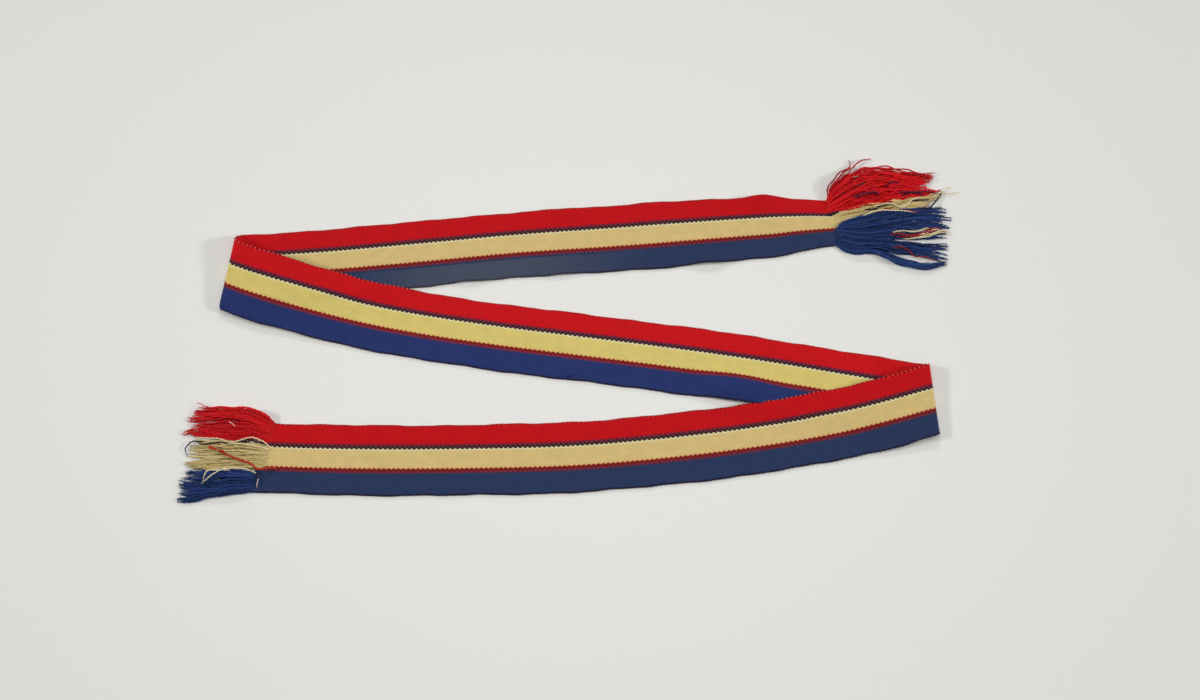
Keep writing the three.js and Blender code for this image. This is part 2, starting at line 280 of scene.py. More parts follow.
class Run:
    """One run of the band on the table: arcs end to end, going straight on past both ends.

    A point at a distance along an arc lies down its chord, half the turn so far off the arc's
    first heading, at that distance times the sine of half the turn over half the turn."""

    def __init__(self, start, plan, offset, red_side):
        self.offset = offset
        self.red_side = red_side  # +1 where the red selvedge is on the left of the way it runs
        self.lengths, self.turns = np.array(plan["sections"], float).T
        self.starts = np.cumsum(self.lengths) - self.lengths
        self.headings = plan["heading"] + np.cumsum(self.turns) - self.turns
        self.length = self.lengths.sum()
        chords = self.lengths * np.sinc(np.radians(self.turns) / 2 / np.pi)
        steps = chords[:, None] * facing(self.headings + self.turns / 2)
        self.points = np.array(start) + np.vstack([np.zeros(2), np.cumsum(steps, 0)])
        self.ends = (plan["heading"], plan["heading"] + self.turns.sum())

    def at(self, distance):
        inside = np.clip(distance, 0, self.length)
        arc = np.searchsorted(self.starts, inside, side="right") - 1
        gone = inside - self.starts[arc]
        turn = self.turns[arc] * gone / self.lengths[arc]
        chord = gone * np.sinc(np.radians(turn) / 2 / np.pi)
        way = facing(self.headings[arc] + turn)
        point = self.points[arc] + chord[..., None] * facing(self.headings[arc] + turn / 2)
        return point + (distance - inside)[..., None] * way, way

    def plan(self, distance, across):
        """The plan of a point of the cloth: its place on the run plus across times the left."""
        point, way = self.at(distance)
        return point + (self.red_side * across)[..., None] * left_of(way)

    def across_of(self, place, guess):
        """How far across the run a place lies, found by walking to the foot of its normal."""
        distance = guess
        for _ in range(4):
            point, way = self.at(distance)
            distance = distance + ((place - point) * way).sum(-1)
        point, way = self.at(distance)
        return self.red_side * ((place - point) * left_of(way)).sum(-1)


runs = []
start, offset = START, 0.0
for number, plan in enumerate(RUNS):
    runs.append(Run(start, plan, offset, 1 if number % 2 else -1))
    offset += runs[-1].length
    start = runs[-1].points[-1]
    if number < len(FOLDS):
        start = start - FOLDS[number]["slip"] * facing(FOLDS[number]["line"])
LENGTH = offset


def crossing(run, heading, inward):
    """How fast the place where a run crosses the fold line moves with the place across it."""
    way = facing(heading)
    return -run.red_side * (left_of(way) @ inward) / (way @ inward)


def fold_of(number):
    """A fold with its runs, its own two directions, and how far the weave slants at it."""
    lower, upper = runs[number], runs[number + 1]
    along = facing(FOLDS[number]["line"])
    inward = -FOLDS[number]["inward"] * left_of(along)
    skew = crossing(lower, lower.ends[1], inward)
    shear = crossing(upper, upper.ends[0], inward) - skew
    made = {"lower": lower, "upper": upper, "along": along, "inward": inward, "skew": skew}
    return FOLDS[number] | made | {"shear": shear, "origin": lower.points[-1]}


folds = [fold_of(0), fold_of(1)]
MIDWAY = runs[1].offset + runs[1].length / 2


def ripple(s, t):
    """The height of the ripples: each is the product of two raised cosines."""
    height = np.zeros(s.shape)
    for row in RIPPLES:
        along = np.clip(np.abs(s - row["at"]) / row["along"], 0, 1)
        over = np.clip(np.abs(t - row["across"]) / row["over"], 0, 1)
        bump = (1 + np.cos(np.pi * along)) * (1 + np.cos(np.pi * over)) / 4
        height = height + row["height"] * bump
    return height


def turned(fold, s, t):
    """The middle of the cloth near one fold. Away from the fold it lies flat. There it goes round
    half a circle about the fold line, whose radius grows towards red, and back above itself."""
    across = t * np.interp(s, *DRAW)
    into = s - fold["upper"].offset
    shear = fold["shear"] * across * (1 - smooth(*SHEAR_FADE, np.abs(into)))
    before = fold["lower"].plan(s - fold["lower"].offset, across) - fold["origin"]
    after = fold["upper"].plan(into + shear, across) - fold["origin"]
    ahead = before @ fold["inward"]
    u = np.where(ahead >= 0, -ahead, np.maximum(after @ fold["inward"], 0))
    share = np.clip((across + HALF) / WIDTH, 0, 1)
    lift = fold["blue"] + (fold["red"] - fold["blue"]) * share
    radius = (STACK + lift) / 2
    bend = np.pi * radius / 2
    angle = np.clip(u / radius + np.pi / 2, 0, np.pi)
    pull = (np.pi / 2 - 1) * radius * (1 - smooth(0, PULL_FADE, np.abs(u) - bend))
    off = np.where(np.abs(u) >= bend, np.abs(u) - pull, radius * (1 - np.sin(angle)))
    bulge = fold["bulge"] + fold["lean"] * (share - 0.5)
    off = off - bulge * (1 - smooth(0, BULGE_FADE, np.abs(u)))
    first, last = before @ fold["along"], after @ fold["along"]
    down = first + (last - first) * smooth(0, np.pi, angle)
    place = fold["origin"] + off[..., None] * fold["inward"] + down[..., None] * fold["along"]
    below = fold["lower"].across_of(place, fold["lower"].length - np.abs(u))
    stack = STACK * smooth(-HALF - STEP_DOWN, -HALF, below)
    rise = stack + lift * (1 - smooth(fold["hold"], fold["settle"], np.abs(u)))
    bump = ripple(s, t)
    height = CLOTH / 2 + rise * (1 - np.cos(angle)) / 2 + bump
    spread = SPREAD * bump * smooth(0, 40, np.abs(u)) * (1 - smooth(60, 90, np.abs(u)))
    return np.stack([place[..., 0], place[..., 1] - spread, height], -1)


def lay(s, t):
    """The middle of the cloth at s along it from the long fringe and t across it towards red,
    with the small waves of its selvedges: three sines of lengths that don't repeat together."""
    s, t = np.broadcast_arrays(np.asarray(s, float), np.asarray(t, float))
    wander = 0.4 * np.sin(s / 9.1 + 1.3 * np.sign(t)) + 0.3 * np.sin(s / 23.7 + np.sign(t))
    wander = wander + 0.15 * np.sin(s / 3.7 + 2 * np.sign(t))
    t = t + wander * np.abs(t / HALF) ** 3
    near_first = (s < MIDWAY)[..., None]
    return np.where(near_first, turned(folds[0], s, t), turned(folds[1], s, t))


def straight_out(s, t):
    """The cloth's unit normal: the way across it crossed with the way along it."""
    step = 0.25
    way = lay(s + step, t) - lay(s - step, t)
    side = lay(s, np.minimum(t + step, HALF)) - lay(s, np.maximum(t - step, -HALF))
    normal = np.cross(side, way)
    return normal / np.linalg.norm(normal, axis=-1, keepdims=True)


ROW = 2.5  # from one row of the skin to the next
FOLD_ROW = 0.7  # the same round the folds
FOLD_REACH = 28  # how far to each side of a fold its rows go
SLIP_REACH = 40  # how far in from each end its rows have slipped


def stations():
    """Places of the rows along the band, close together round the folds."""
    lines = [run.offset for run in runs[1:]]
    dense = [np.arange(line - FOLD_REACH, line + FOLD_REACH, FOLD_ROW) for line in lines]
    plain = np.arange(0, LENGTH, ROW)
    gap = np.min([np.abs(plain - line) for line in lines], 0)
    return np.sort(np.concatenate([plain[gap > FOLD_REACH + 1], *dense, [LENGTH]]))


def skewed(s, t):
    """Round a fold the rows run along the fold line, and elsewhere straight across the band. The
    last crosswise yarns have slipped, so the cloth ends further out on its blue side, by 4 mm at
    the long fringe and 8.5 mm at the short one."""
    shift = 0
    for fold in folds:
        gap = np.abs(s - fold["upper"].offset)
        shift = shift + fold["skew"] * t * (1 - smooth(30, 90, gap))
    first = (1 + 4 * smooth(14, 8, t)) * (1 - smooth(0, SLIP_REACH, s))
    last = 8.5 * smooth(-9, -14, t) * smooth(LENGTH - SLIP_REACH, LENGTH, s)
    return s + shift - first + last


def surface(name, points, faces, material, **marks):
    """A mesh object from points in millimetres, lists of faces, and a number for each point
    under each mark's name, which its material reads."""
    mesh = bpy.data.meshes.new(name)
    mesh.from_pydata((points * MM).tolist(), [], [face for some in faces for face in some.tolist()])
    mesh.polygons.foreach_set("use_smooth", np.ones(len(mesh.polygons), bool))
    for mark, values in marks.items():
        mesh.attributes.new(mark, "FLOAT", "POINT").data.foreach_set("value", values.ravel())
    mesh.materials.append(material)
    made = bpy.data.objects.new(name, mesh)
    scene.collection.objects.link(made)
    return made


def band():
    """A closed skin over the middle of the cloth: half the cloth's thickness out along its normal
    on one face, as far the other way on the back, and rounded off at both selvedges."""
    edge = [0, 0.05, 0.2, 0.45, 0.8]
    from_red = np.array([*edge, *np.linspace(1.9, WIDTH - 1.9, 44), *[WIDTH - e for e in edge[::-1]]])
    count = len(from_red)
    ring = np.concatenate([from_red, from_red[-2:0:-1]])
    side = np.concatenate([np.ones(count), -np.ones(count - 2)])
    mark, across = np.meshgrid(stations(), HALF - ring, indexing="ij")
    s = skewed(mark, across)
    rounded = CLOTH / 2
    left = (HALF - np.abs(across)).clip(0, rounded) / rounded
    half = rounded * np.sqrt(1 - (1 - left) ** 2) * side
    points = lay(s, across) + half[..., None] * straight_out(s, across)
    rows, around = s.shape
    number = np.arange(rows * around).reshape(rows, around)
    beside = np.roll(number, -1, 1)
    skin = np.stack([number[:-1], number[1:], beside[1:], beside[:-1]], -1).reshape(-1, 4)
    upper = np.arange(1, count - 2)
    lower = (around - upper) % around
    first = np.stack([upper, upper + 1, lower - 1, lower], -1)
    final = (number[-1, 0] + first)[:, ::-1]
    tips = np.array([[0, 1, around - 1], [count - 2, count - 1, count]])
    tips = np.concatenate([tips, number[-1, 0] + tips[:, ::-1]])
    back = np.broadcast_to((side < 0) & (ring > 0) & (ring < WIDTH), s.shape).astype(float)
    return points.reshape(-1, 3), (skin, first, final, tips), s, np.broadcast_to(ring, s.shape), back


STRIPES = (  # where each colour starts from the red selvedge, on the worn face and on the back
    # The first millimetre, a dark red, is painted shade along the rounded red selvedge
    {"start": 0, "face": (112, 8, 18), "back": (116, 8, 18)},
    {"start": 1.0, "face": (188, 15, 22), "back": (194, 17, 24)},
    {"start": 19.3, "face": (118, 26, 46), "back": (122, 26, 50)},
    {"start": 21.1, "face": (52, 26, 34), "back": (52, 26, 39)},
    {"start": 24.4, "face": (218, 212, 168), "back": (220, 214, 168)},
    {"start": 25.7, "face": (207, 182, 122), "back": (210, 192, 112)},
    {"start": 42.8, "face": (212, 158, 106), "back": (216, 166, 106)},
    {"start": 43.8, "face": (122, 25, 19), "back": (124, 25, 19)},
    {"start": 46, "face": (112, 33, 44), "back": (122, 38, 50)},
    {"start": 47.6, "face": (80, 40, 60), "back": (82, 42, 76)},
    {"start": 48.8, "face": (40, 54, 88), "back": (37, 51, 103)},
    {"start": 68.9, "face": (36, 26, 46), "back": (36, 26, 52)},
)


def stripe_stops(face):
    """The ramp's stops: each colour held flat between two soft borders 0.3 mm wide."""
    stops = []
    for row, following in zip(STRIPES, (*STRIPES[1:], {"start": WIDTH})):
        first = max(row["start"] + 0.15, 0) / WIDTH
        last = min(following["start"] - 0.15, WIDTH) / WIDTH
        stops += [(first, dyed(*row[face])), (last, dyed(*row[face]))]
    return stops


TEETH = (  # where a row of teeth stands from the red selvedge, how far it reaches and its size
    {"at": 43.8, "reach": 2.0, "size": 1.3, "between": False},
    {"at": 24.4, "reach": 2.0, "size": -1.6, "between": False},
    {"at": 19.5, "reach": 1.2, "size": 0.9, "between": True},
    {"at": 49, "reach": 1.3, "size": -0.6, "between": True},
    # the row at 0 scallops that painted shade line of the red selvedge
    {"at": 0, "reach": 2.5, "size": -0.8, "between": False},
    {"at": WIDTH, "reach": 2.5, "size": 0.8, "between": False},
)


def attribute(name):
    """The number that each point carries under a name."""
    return Socket.node("Attribute", {"attribute_name": name}, output=2)


def striped_weave():
    """Tight wool weave: the stripes' colours by the place across the band, toothed where the
    floats of two colours meet, with the floats' bricks in the bump and a mottle over all."""
    material = Socket.start("striped_weave")
    along = attribute("along")
    across = attribute("across")
    back = attribute("back")
    place = Socket.node("CombineXYZ", {}, {0: along, 1: across, 2: back * 40})

    # Teeth: a scallop for every second pick, pushed out of the dark stripes at their borders
    pair = along / (2 * PICK)
    scallop = abs((pair / 2).wave()) - 0.64
    between = abs((pair / 2 + 0.25).wave()) - 0.64
    shifted = across
    for row in TEETH:
        teeth = between if row["between"] else scallop
        shifted = shifted + teeth * across.near(row["at"], row["reach"]) * row["size"]
    share = shifted / WIDTH
    face = Socket.node("ValToRGB", {"stops": stripe_stops("face")}, {0: share})
    rear = Socket.node("ValToRGB", {"stops": stripe_stops("back")}, {0: share})
    colour = back.choose(face, rear)

    # The dark line is worked in slanting dashes with a grey purple between them, and the dark
    # red one has a row of dots along its blue side
    slant = (pair + across * 0.16).wave()
    dash = across.near(21.9, 1.6) * slant.rising(0.1, -0.9) * 0.55
    colour = dash.choose(colour, dyed(110, 64, 72))
    dots = across.near(47.6, 0.7) * pair.wave().rising(-0.2, 0.9) * 0.3
    colour = dots.choose(colour, dyed(150, 70, 84))
    stitch = across.near(46.2, 0.5) * (pair + 0.5).wave().rising(-0.6, 0.6) * 0.5
    colour = stitch.choose(colour, dyed(70, 20, 30))

    # The far run has faded along its blue stripe
    faded = along.rising(160, 320) * along.rising(500, 370) * across.rising(50, 51) * 0.4
    colour = faded.choose(colour, dyed(92, 96, 98))

    # Bricks: a float over every second pick, each lengthwise yarn half a step from its neighbour
    pick = along / PICK
    row = pick.math("FLOOR")
    within = pick - row
    column = across / (2 * END) + row * 0.5
    aside = column - column.math("FLOOR")
    float_height = (within * (1 - within) * 4).math("POWER", 0.6)
    float_height = float_height * (0.35 + aside * (1 - aside) * 2.6)
    # Painted shade: where the floats dip between each other the colour is taken towards near black
    gap = float_height.rising(0.5, 0.0) * 0.12
    colour = gap.choose(colour, dyed(30, 14, 16))

    # Mottle: broad soft patches, and a finer grain of single yarns
    patches = noise(place, 0.11, 3)
    stretch = Socket.node("Mapping", {}, {"Vector": place, "Scale": (0.05, 1.1, 1)})
    streaks = noise(stretch, 1.0)
    grain = noise(place, 0.9)
    tone = 0.72 + patches * 0.22 + streaks * 0.2 + grain * 0.18
    tones = Socket.node("CombineColor", {}, {0: tone, 1: tone, 2: tone})
    product = {"data_type": "RGBA", "blend_type": "MULTIPLY"}
    colour = Socket.node("Mix", product, {0: 1.0, 6: colour, 7: tones}, 2)

    height = float_height + grain * 0.5
    bump = Socket.node("Bump", {}, {"Height": height, "Strength": 0.55, "Distance": 0.0003})
    settled = {"Base Color": colour, "Roughness": 0.85, "Specular IOR Level": 0.08}
    settled |= {"Sheen Weight": 0.02, "Sheen Roughness": 0.5, "Normal": bump}
    return finished(material, settled)


points, faces, along, across, back = band()
sash = surface("woven_sash", points, faces, striped_weave(), along=along, across=across, back=back)
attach(sash, "root")
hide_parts("woven_band")

# Long fringe, red
# Beyond the last crosswise yarn the lengthwise ones hang free: soft two-ply wool, cut to one
# length. The red ones have fluffed up into a hump at the far side, and lie in locks side by side.
RADIUS = 0.9  # of a yarn
PLY = 6.5  # a yarn's length for one turn of its plies
TUFTS = 3  # that the tip of a lock parts into
SHARES = np.array([0, 0.02, 0.06, 0.17, 0.35, 0.55, 0.8, 1])  # of a lock's length from the fell
LOCK = ("length", "rise", "across")  # a lock's columns, the last at six SHARES, from 0.06 on
FELLS = {
    "long": {"place": runs[0].points[0], "out": facing(runs[0].ends[0] + 180), "red": 1, "length": 112},
    "short": {"place": runs[2].points[-1], "out": facing(runs[2].ends[1]), "red": -1, "length": 76},
}


def beyond(end, out, across, height):
    """A place out from a fell and across it towards red, at a height over the table."""
    fell = FELLS[end]
    side = fell["red"] * left_of(fell["out"])
    plan = fell["place"] + out[..., None] * fell["out"] + across[..., None] * side
    return np.concatenate([plan, np.broadcast_to(height, out.shape)[..., None]], -1)


def through(points, count):
    """Places on a smooth curve through the points of each path (Catmull-Rom): the cubic between
    two neighbours whose slope at each is half the step between the points beside it."""
    first, last = 2 * points[:, :1] - points[:, 1:2], 2 * points[:, -1:] - points[:, -2:-1]
    row = np.concatenate([first, points, last], 1)
    u = np.linspace(0, points.shape[1] - 1, count)
    i = np.minimum(u.astype(int), points.shape[1] - 2)
    f = (u - i)[None, :, None]
    a, b, c, d = row[:, i], row[:, i + 1], row[:, i + 2], row[:, i + 3]
    cubic = (3 * (b - c) + d - a) * f**3 + (2 * a - 5 * b + 4 * c - d) * f**2 + (c - a) * f
    return b + cubic / 2


def beside(paths, up=(0.0, 0.0, 1.0)):
    """Each path's own directions: the way along it, the side square to that and to up, and the
    rise square to both."""
    way = np.gradient(paths, axis=1)
    way = way / np.linalg.norm(way, axis=-1, keepdims=True)
    side = np.cross(way, up)
    side = side / np.maximum(np.linalg.norm(side, axis=-1, keepdims=True), 1e-6)
    return way, side, np.cross(side, way)


def gone(paths):
    """The length covered at each point of each path."""
    steps = np.linalg.norm(np.diff(paths, axis=1), axis=-1)
    return np.concatenate([np.zeros((len(paths), 1)), np.cumsum(steps, 1)], 1)


def crimped(paths, rng, short, long):
    """Wool keeps the set of the weave: a short sine sways each path from side to side and dies
    away along it, and a long one grows."""
    length = gone(paths)
    share = length / length[:, -1:]
    way, side, rise = beside(paths)
    phase = rng.uniform(0, 2 * np.pi, (4, len(paths), 1))
    small = short * (1 - 0.6 * share) * smooth(0, 4, length)
    wide = long * smooth(0, 0.5, share)
    turn = 2 * np.pi * length
    sway = small * np.sin(turn / 5.1 + phase[0]) + wide * np.sin(turn / 24 + phase[1])
    heave = small * np.sin(turn / 4.7 + phase[2]) + 0.4 * wide * np.sin(turn / 19 + phase[3])
    moved = paths + sway[..., None] * side + heave[..., None] * rise
    moved[..., 2] = np.maximum(moved[..., 2], RADIUS)
    return moved


def plied(paths, radius, rng):
    """Two plies wound round each path, one turn for each PLY of length: a ply lies 0.38 of the
    yarn's radius off the path, and opens away from it over the last 5 mm."""
    length = gone(paths)
    way, side, rise = beside(paths)
    angle = 2 * np.pi * length / PLY + rng.uniform(0, 2 * np.pi, (len(paths), 1))
    off = radius * (0.38 + 0.5 * smooth(-5, 0, length - length[:, -1:]))
    step = off[..., None] * (np.cos(angle)[..., None] * side + np.sin(angle)[..., None] * rise)
    return np.concatenate([paths + step, paths - step])


def tubes(centres, radius, sides=5, taper=0.4, up=(0.0, 0.0, 1.0)):
    """Round skins about many paths at once: a ring's point is the path's plus the radius times
    the cosine of its angle along the side and its sine along the rise. The rings shrink over
    the last 15 mm, and a point past each end closes them."""
    number, rings, _ = centres.shape
    length = gone(centres)
    way, side, rise = beside(centres, up)
    swell = radius * (1 - (1 - taper) * smooth(-15, 0, length - length[:, -1:]))
    angle = 2 * np.pi * np.arange(sides) / sides
    spoke = np.cos(angle)[:, None] * side[:, :, None] + np.sin(angle)[:, None] * rise[:, :, None]
    skin = centres[:, :, None] + swell[..., None, None] * spoke
    reach = np.stack([-way[:, 0] * swell[:, :1], way[:, -1] * swell[:, -1:]], 1) * 0.6
    ends = centres[:, [0, -1]] + reach
    points = np.concatenate([skin.reshape(number, -1, 3), ends], 1)
    points[..., 2] = np.maximum(points[..., 2], 0.05)
    here = np.arange(rings * sides).reshape(rings, sides)
    there = np.roll(here, -1, 1)
    quads = np.stack([here[:-1], here[1:], there[1:], there[:-1]], -1).reshape(-1, 4)
    tip = rings * sides
    first = np.stack([np.full(sides, tip), here[0], there[0]], -1)
    last = np.stack([np.full(sides, tip + 1), there[-1], here[-1]], -1)
    step = (np.arange(number) * points.shape[1])[:, None, None]
    quads = (quads + step).reshape(-1, 4)
    caps = (np.concatenate([first, last]) + step).reshape(-1, 3)
    return points, (quads, caps)


def bundle(table, rng):
    """Paths of a bundle's yarns. At the fell they stand in one row. Beyond it each lock is as
    broad as its share of the gaps to the locks beside it, and a yarn keeps its place across the
    lock and its own layer between the table and the lock's top, which springs up at the fell by
    a share of its rise. Towards the tips the yarns of each tuft close in on its middle."""
    locks = [dict(zip(LOCK, row)) for row in table["locks"]]
    line = np.array([row["across"] for row in locks], float)
    gaps = np.abs(np.diff(line, axis=0))
    breadth = (np.vstack([gaps[:1], gaps]) + np.vstack([gaps, gaps[-1:]])) / 2
    breadth = np.clip(breadth, 2, 9) * np.linspace(1.15, table["gather"], line.shape[1])
    size = (len(locks), table["yarns"])
    place = (np.arange(size[1]) + rng.uniform(0.1, 0.9, size)) / size[1]
    order = (np.arange(size[0])[:, None] + place) / size[0]
    high, low = table["fell"]
    tuft = (np.floor(place * TUFTS) + 0.5) / TUFTS
    aside = 0.5 - place[..., None] + (place - tuft)[..., None] * 0.75 * smooth(0.45, 1, SHARES[2:])
    across = line[:, None] + aside * breadth[:, None]
    woven = (high + (low - high) * order)[..., None]
    across = np.concatenate([woven, woven + (across[..., :1] - woven) * 0.6, across], 2)
    across = across + rng.normal(0, table["loose"], across.shape) * smooth(0.1, 0.9, SHARES)
    length, rise = (np.array([[row[key]] for row in locks]) for key in ("length", "rise"))
    own = (length - table["from"]) * (1 - table["ragged"] * rng.random(size) ** 1.5)
    out = table["from"] + own[..., None] * SHARES
    spring = table["spring"]
    lift = np.array([0, spring * 0.6, spring, 0.9, 1, 0.75, 0.4, 0.1])
    height = RADIUS + (rise * rng.random(size))[..., None] * lift
    out[..., 0] -= 3
    height[..., 0] = CLOTH / 2
    places = beyond(table["end"], out, across, height).reshape(-1, len(SHARES), 3)
    return through(places, int(length.max() / 1.6))


def wool(name, colour, deep):
    """Soft two-ply wool: the dye is a little deeper on some yarns, with a grain of fibres. The
    tone also brings painted shade, towards the deep colour.
    """
    material = Socket.start(name)
    tone = attribute("tone")
    place = Socket.node("TexCoord", output=3)
    fibre = noise(place, 1400)
    cloud = noise(place, 110)
    depth = tone * 0.7 + fibre * 0.3 + cloud * 0.2 - 0.15
    shade = depth.choose(dyed(*colour), dyed(*deep))
    bump = Socket.node("Bump", {}, {"Height": fibre, "Strength": 0.5, "Distance": 0.0003})
    settled = {"Base Color": shade, "Roughness": 0.6, "Specular IOR Level": 0.18, "Normal": bump}
    settled |= {"Sheen Weight": 0.25, "Sheen Roughness": 0.4, "Sheen Tint": dyed(*colour)}
    return finished(material, settled)


def yarns(name, paths, radius, material, rng, crowd_shade):
    """Twisted yarns along the paths as one piece: two plies each, with one tone for each yarn. Painted
    shade deepens the tone towards the fell, by the crowd_shade share, where the yarns crowd."""
    plies = plied(paths, radius, rng)
    points, faces = tubes(plies, radius * 0.68)
    own = np.tile(rng.random(len(paths)), 2)[:, None]
    ring = np.linspace(0, 1, points.shape[1])
    # Painted shade: near the fell the tone goes towards 0.9, the deep colour, by the crowd_shade share
    tone = own + (0.9 - own) * (1 - smooth(0.03, 0.16, ring)) * crowd_shade
    made = surface(name, points.reshape(-1, 3), faces, material, tone=tone)
    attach(made, "root")
    return made


def fringe(name, table, material, seed, crowd_shade, short=0.2, long=0.5):
    """One bundle of a fringe. Short and long are how far the yarns' crimp sways them."""
    rng = np.random.default_rng(seed)
    paths = crimped(bundle(table, rng), rng, short, long)
    return yarns(name, paths, RADIUS, material, rng, crowd_shade)


red_wool = wool("red_yarn", (234, 20, 32), (180, 6, 14))
# The locks' places and the single yarns' routes below were read off the photograph
LONG_RED = {
    "end": "long", "from": 1, "fell": (24.6, 10.9),
    "yarns": 11, "gather": 0.85, "loose": 0.8, "ragged": 0.24, "spring": 0.55,
    "locks": (
        (110, 11, (38, 44.5, 52.5, 56, 50.5, 48)),
        (108, 12, (31.5, 37.5, 46, 49.5, 45.5, 45)),
        (104, 12, (24.5, 30, 38, 42.5, 41.5, 41.5)),
        (100, 10.5, (20, 25.5, 32.5, 37, 36, 37.5)),
        (110, 9, (17, 22, 28.5, 32, 30.5, 31)),
        (113, 7, (15.5, 18.5, 23.5, 26.5, 27.5, 29.5)),
        (110, 5, (13.5, 14.5, 18.5, 21, 24.5, 27)),
    ),
}
long_red = fringe("long_fringe_red", LONG_RED, red_wool, seed=11, crowd_shade=0.8, short=0.25, long=1)
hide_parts("right_fringe_red")

# Long fringe, cream
# The undyed yarns of the long end lie flat between the red and the blue, and some have slipped
# out past the others.
cream_wool = wool("cream_yarn", (232, 214, 156), (186, 162, 100))
LONG_CREAM = {
    "end": "long", "fell": (7.2, -6), "yarns": 10, "from": 5, "spring": 0.3,
    "gather": 0.8, "loose": 0.6, "ragged": 0.22,
    "locks": (
        (113, 5, (10.5, 12.5, 16, 18.5, 23, 24)),
        (108, 5, (7.5, 9, 11.5, 17, 20, 22)),
        (101, 4, (4, 5, 8, 12, 14.5, 15.5)),
        (72, 3, (0.5, 1.5, 3, 5.5, 8, 9)),
    ),
}
long_cream = fringe("long_fringe_cream", LONG_CREAM, cream_wool, seed=12, crowd_shade=0.3)
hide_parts("right_fringe_cream")

# Long fringe, blue
# The blue yarns of the long end are the same soft wool. They bulge to the front below the fell,
# and part at their tips.
blue_wool = wool("blue_yarn", (36, 64, 124), (13, 24, 54))
LONG_BLUE = {
    "end": "long", "fell": (-10.6, -24.6), "yarns": 11, "from": 4, "spring": 0.6,
    "gather": 0.85, "loose": 0.8, "ragged": 0.18,
    "locks": (
        (115, 6, (-3, -0.5, 3, 6, 9, 9.5)),
        (119, 7, (-5, -5.5, -2.5, 2, 5, 2)),
        (118, 7, (-8, -9.5, -7.5, -4, -1, -5)),
        (115, 7, (-11, -13.5, -13.5, -11, -8, -11)),
        (110, 6, (-14, -17.5, -19, -18, -20, -19.5)),
        (110, 6, (-18.5, -23, -24.5, -29, -32.5, -33)),
        (108, 5, (-24, -29, -30, -34, -38.5, -45)),
        (106, 4, (-29.5, -33.5, -34.5, -45, -53.5, -51)),
    ),
}
long_blue = fringe("long_fringe_blue", LONG_BLUE, blue_wool, seed=13, crowd_shade=0.8)
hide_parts("right_fringe_blue")

# Short fringe, red
# The other end was cut shorter. Its red yarns fan out past the selvedge in one thick brush. They
# are the long ones' red wool, painted a little darker: painted shade.
SHORT_RED = {
    "end": "short", "fell": (33.4, 15.2), "yarns": 11, "from": 0, "spring": 0.5,
    "gather": 0.9, "loose": 0.45, "ragged": 0.22,
    "locks": (
        (74, 9, (37, 40, 43, 43.5, 43.5, 43)),
        (75, 10, (32.5, 35, 39, 40, 39.5, 38)),
        (78, 9, (28.5, 31, 35, 36, 34.5, 33)),
        (75, 8, (25, 26.5, 28, 28.5, 27.5, 25.5)),
        (79, 7, (21.5, 23.5, 23.5, 23.5, 23, 19.5)),
        (74, 6, (18.5, 21, 20, 19.5, 20, 21)),
        (72, 4, (15.5, 18.5, 17.5, 16.5, 17.5, 18)),
    ),
}
# a darker copy of the red wool: painted shade
shaded_red_wool = wool("short_red_yarn_shaded", (219, 18, 29), (167, 5, 12))
short_red = fringe("short_fringe_red", SHORT_RED, shaded_red_wool, seed=21, crowd_shade=0.7)
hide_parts("left_fringe_red")

# Short fringe, cream
# The undyed yarns of the short end lie nearly straight and flat, in two groups at their tips.
# They too are the long ones' wool painted a little darker: painted shade.
SHORT_CREAM = {
    "end": "short", "fell": (9.8, -8.2), "yarns": 9, "from": 0, "spring": 0.3,
    "gather": 0.85, "loose": 0.5, "ragged": 0.2,
    "locks": (
        (67, 4, (9, 10, 10.5, 11, 11, 11.5)),
        (71, 5, (5, 5, 5, 5.5, 5.5, 6)),
        (71, 5, (1, 0.5, -0.5, -0.5, -0.5, 0)),
        (73, 5, (-3, -4.5, -6, -6, -8, -11)),
        (69, 4, (-7, -8.5, -9, -9.5, -11, -13)),
        (63, 3, (-9.5, -10.5, -11, -12, -14, -15.5)),
    ),
}
# a darker copy of the cream wool: painted shade
shaded_cream_wool = wool("short_cream_yarn_shaded", (216, 198, 142), (172, 149, 91))
short_cream = fringe("short_fringe_cream", SHORT_CREAM, shaded_cream_wool, seed=22, crowd_shade=0.3)
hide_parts("left_fringe_cream")

# Short fringe, blue
# The blue yarns of the short end are the same soft wool. They drift to the front and end in a
# ragged brush.
SHORT_BLUE = {
    "end": "short", "fell": (-14.4, -33.4), "yarns": 9, "from": 8.5, "spring": 0.6,
    "gather": 0.95, "loose": 0.7, "ragged": 0.22,
    "locks": (
        (71, 5, (-16.5, -16.5, -16, -17, -18.5, -18)),
        (73, 6, (-19, -19.5, -20, -22, -23.5, -24)),
        (76, 6, (-22, -23, -24.5, -27, -28, -28)),
        (76, 6, (-25, -26, -28, -30.5, -31, -30)),
        (74, 5, (-28, -29, -31, -33.5, -35, -34)),
        (74, 4, (-31, -32, -33.5, -36, -38.5, -38.5)),
        (75, 3, (-33, -34.5, -36, -38.5, -42, -45)),
    ),
}
short_blue = fringe("short_fringe_blue", SHORT_BLUE, blue_wool, seed=23, crowd_shade=0.8)
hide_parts("left_fringe_blue")


